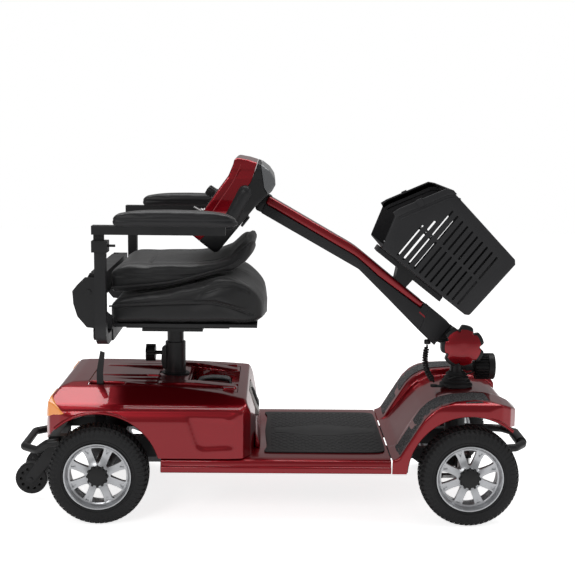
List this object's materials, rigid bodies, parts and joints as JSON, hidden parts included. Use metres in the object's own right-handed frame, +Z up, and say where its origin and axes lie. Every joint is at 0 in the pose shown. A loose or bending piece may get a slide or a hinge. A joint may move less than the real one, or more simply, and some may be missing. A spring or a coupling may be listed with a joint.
{
  "type": "folding mobility scooter",
  "caption": "Four-wheel folding mobility scooter in its stored pose: tiller lowered over the forward-folded backrest, with basket, padded armrests and anti-tip wheels.",
  "frame": {"origin": "on the floor, midway along the overall length and on the centre plane", "axes": "+X forward, +Y to the rider's left, +Z up"},
  "size_m": [1.304, 0.672, 0.872],
  "materials": {
    "frame_black": "satin black powder coat",
    "steel": "zinc plated steel",
    "gear_case": "cast aluminium",
    "body_red": "metallic candy red gloss",
    "port_grey": "pale grey",
    "amber": "amber lens",
    "mat_rubber": "moulded rubber",
    "grip": "coarse grip tape",
    "black_plastic": "black moulded plastic",
    "charcoal_plastic": "charcoal moulded plastic",
    "tyre": "black rubber tread",
    "rim_silver": "silver painted cast rim",
    "lens": "black lamp with clear lens",
    "vinyl": "black vinyl",
    "cord_rubber": "black curly cable"
  },
  "bodies": {
    "chassis": {"main_frame": "frame_black", "transaxle": "gear_case", "rear_shroud": "body_red", "rear_cover": "body_red", "charger_port": "port_grey", "tail_lights": "amber", "deck_shell": "body_red", "deck_mat": "mat_rubber", "front_shroud": "body_red", "grip_tape": "grip", "rear_bumper": "frame_black", "front_bumper": "frame_black", "antitip_arms": "frame_black", "controller": "black_plastic"},
    "battery": {"battery_pack": "black_plastic"},
    "freewheel": {"freewheel_lever": "frame_black"},
    "rear_wheel_left": {"rear_tyre_left": "tyre", "rear_rim_left": "rim_silver"},
    "rear_wheel_right": {"rear_tyre_right": "tyre", "rear_rim_right": "rim_silver"},
    "knuckle_left": {"knuckle_left": "steel"},
    "knuckle_right": {"knuckle_right": "steel"},
    "front_wheel_left": {"front_tyre_left": "tyre", "front_rim_left": "rim_silver"},
    "front_wheel_right": {"front_tyre_right": "tyre", "front_rim_right": "rim_silver"},
    "antitip_left": {"antitip_wheel_left": "black_plastic"},
    "antitip_right": {"antitip_wheel_right": "black_plastic"},
    "steering": {"steering_column": "frame_black", "column_boot": "mat_rubber", "curly_cord": "cord_rubber"},
    "tie_rod": {"tie_rod": "steel"},
    "lamp": {"headlamp": "lens"},
    "tiller": {"tiller_tube": "charcoal_plastic", "tiller_trim": "body_red", "basket_bracket": "frame_black", "head_upper": "body_red", "head_lower": "black_plastic", "grips": "vinyl"},
    "clamp_knob": {"tiller_knob": "body_red"},
    "dial": {"speed_dial": "black_plastic"},
    "key": {"key": "steel"},
    "paddles": {"throttle_paddles": "black_plastic"},
    "horn": {"horn_button": "black_plastic"},
    "basket": {"basket": "charcoal_plastic"},
    "seat_post": {"seat_post": "frame_black"},
    "height_knob": {"height_knob": "black_plastic"},
    "seat_base": {"seat_base": "frame_black"},
    "seat": {"seat_pan": "frame_black", "seat_cushion": "vinyl"},
    "backrest": {"backrest_frame": "frame_black", "backrest_cushion": "vinyl"},
    "arm_post_left": {"armrest_post_left": "frame_black"},
    "arm_post_right": {"armrest_post_right": "frame_black"},
    "armrest_left": {"armrest_arm_left": "frame_black", "armrest_pad_left": "vinyl"},
    "armrest_right": {"armrest_arm_right": "frame_black", "armrest_pad_right": "vinyl"},
    "width_knob_left": {"width_knob_left": "black_plastic"},
    "width_knob_right": {"width_knob_right": "black_plastic"}
  },
  "joints": [
    {"name": "rear_wheel_left_spin", "type": "hinge", "parent": "chassis", "child": "rear_wheel_left", "pos_m": [-0.416, 0.228, 0.12], "axis": [0, 1, 0], "continuous": true},
    {"name": "rear_wheel_right_spin", "type": "hinge", "parent": "chassis", "child": "rear_wheel_right", "pos_m": [-0.416, -0.228, 0.12], "axis": [0, 1, 0], "continuous": true},
    {"name": "antitip_left_spin", "type": "hinge", "parent": "chassis", "child": "antitip_left", "pos_m": [-0.612, 0.062, 0.054], "axis": [0, 1, 0], "continuous": true},
    {"name": "antitip_right_spin", "type": "hinge", "parent": "chassis", "child": "antitip_right", "pos_m": [-0.612, -0.062, 0.054], "axis": [0, 1, 0], "continuous": true},
    {"name": "steer", "type": "hinge", "parent": "chassis", "child": "steering", "pos_m": [0.472, 0, 0.12], "axis": [0, 0, 1], "range_deg": [-10, 10]},
    {"name": "knuckle_left_steer", "type": "hinge", "parent": "chassis", "child": "knuckle_left", "pos_m": [0.47, 0.165, 0.12], "axis": [0, 0, 1], "range_deg": [-10, 10]},
    {"name": "front_wheel_left_spin", "type": "hinge", "parent": "knuckle_left", "child": "front_wheel_left", "pos_m": [0.47, 0.228, 0.12], "axis": [0, 1, 0], "continuous": true},
    {"name": "knuckle_right_steer", "type": "hinge", "parent": "chassis", "child": "knuckle_right", "pos_m": [0.47, -0.165, 0.12], "axis": [0, 0, 1], "range_deg": [-10, 10]},
    {"name": "front_wheel_right_spin", "type": "hinge", "parent": "knuckle_right", "child": "front_wheel_right", "pos_m": [0.47, -0.228, 0.12], "axis": [0, 1, 0], "continuous": true},
    {"name": "tie_rod_slide", "type": "slide", "parent": "chassis", "child": "tie_rod", "axis": [0, 1, 0], "range_m": [-0.0106, 0.0106]},
    {"name": "lamp_tilt", "type": "hinge", "parent": "steering", "child": "lamp", "pos_m": [0.502, 0, 0.339], "axis": [0, 1, 0], "range_deg": [-15, 8]},
    {"name": "tiller_fold", "type": "hinge", "parent": "steering", "child": "tiller", "pos_m": [0.472, 0, 0.405], "axis": [0, 1, 0], "range_deg": [0, 45]},
    {"name": "tiller_knob_turn", "type": "hinge", "parent": "tiller", "child": "clamp_knob", "pos_m": [0.472, 0, 0.405], "axis": [0, 1, 0], "continuous": true},
    {"name": "speed_dial_turn", "type": "hinge", "parent": "tiller", "child": "dial", "pos_m": [-0.151, 0, 0.7745], "axis": [-0.8201, 0, 0.5722], "range_deg": [-135, 135]},
    {"name": "key_turn", "type": "hinge", "parent": "tiller", "child": "key", "pos_m": [-0.1804, 0.046, 0.7254], "axis": [-0.8866, 0, 0.4626], "range_deg": [0, 90]},
    {"name": "throttle_rock", "type": "hinge", "parent": "tiller", "child": "paddles", "pos_m": [-0.07569, 0, 0.71906], "axis": [0.7854, 0, -0.619], "range_deg": [-12, 12], "stiffness_Nm_per_rad": 2},
    {"name": "horn_press", "type": "slide", "parent": "tiller", "child": "horn", "axis": [-0.8201, 0, 0.5722], "range_m": [-0.002, 0], "stiffness_N_per_m": 400},
    {"name": "basket_lift", "type": "slide", "parent": "tiller", "child": "basket", "axis": [-0.7887, 0, 0.6147], "range_m": [0, 0.12]},
    {"name": "battery_lift", "type": "slide", "parent": "chassis", "child": "battery", "axis": [0, 0, 1], "range_m": [0, 0.1]},
    {"name": "freewheel_lever_turn", "type": "hinge", "parent": "chassis", "child": "freewheel", "pos_m": [-0.424, -0.14, 0.262], "axis": [0, 1, 0], "range_deg": [0, 30]},
    {"name": "seat_height", "type": "slide", "parent": "chassis", "child": "seat_post", "axis": [0, 0, 1], "range_m": [-0.03, 0]},
    {"name": "height_knob_turn", "type": "hinge", "parent": "chassis", "child": "height_knob", "pos_m": [-0.3, 0, 0.368], "axis": [1, 0, 0], "continuous": true},
    {"name": "seat_swivel", "type": "hinge", "parent": "seat_post", "child": "seat_base", "pos_m": [-0.251, 0, 0.44], "axis": [0, 0, -1], "range_deg": [-5, 5]},
    {"name": "seat_slide", "type": "slide", "parent": "seat_base", "child": "seat", "axis": [1, 0, 0], "range_m": [-0.015, 0.015]},
    {"name": "backrest_fold", "type": "hinge", "parent": "seat", "child": "backrest", "pos_m": [-0.435, 0, 0.558], "axis": [0, 1, 0], "range_deg": [-1, 0]},
    {"name": "armrest_width_left", "type": "slide", "parent": "seat", "child": "arm_post_left", "axis": [0, 1, 0], "range_m": [0, 0.04]},
    {"name": "armrest_flip_left", "type": "hinge", "parent": "arm_post_left", "child": "armrest_left", "pos_m": [-0.398, 0.308, 0.712], "axis": [0, -1, 0], "range_deg": [0, 95]},
    {"name": "width_knob_left_turn", "type": "hinge", "parent": "seat", "child": "width_knob_left", "pos_m": [-0.43, 0.19, 0.455], "axis": [1, 0, 0], "continuous": true},
    {"name": "armrest_width_right", "type": "slide", "parent": "seat", "child": "arm_post_right", "axis": [0, -1, 0], "range_m": [0, 0.04]},
    {"name": "armrest_flip_right", "type": "hinge", "parent": "arm_post_right", "child": "armrest_right", "pos_m": [-0.398, -0.308, 0.712], "axis": [0, -1, 0], "range_deg": [0, 95]},
    {"name": "width_knob_right_turn", "type": "hinge", "parent": "seat", "child": "width_knob_right", "pos_m": [-0.43, -0.19, 0.455], "axis": [1, 0, 0], "continuous": true}
  ],
  "couplings": [
    {"joint": "knuckle_left_steer", "follows": "steer", "ratio": 1},
    {"joint": "knuckle_right_steer", "follows": "steer", "ratio": 1},
    {"joint": "tie_rod_slide", "follows": "steer", "m_per_rad": -0.06}
  ]
}
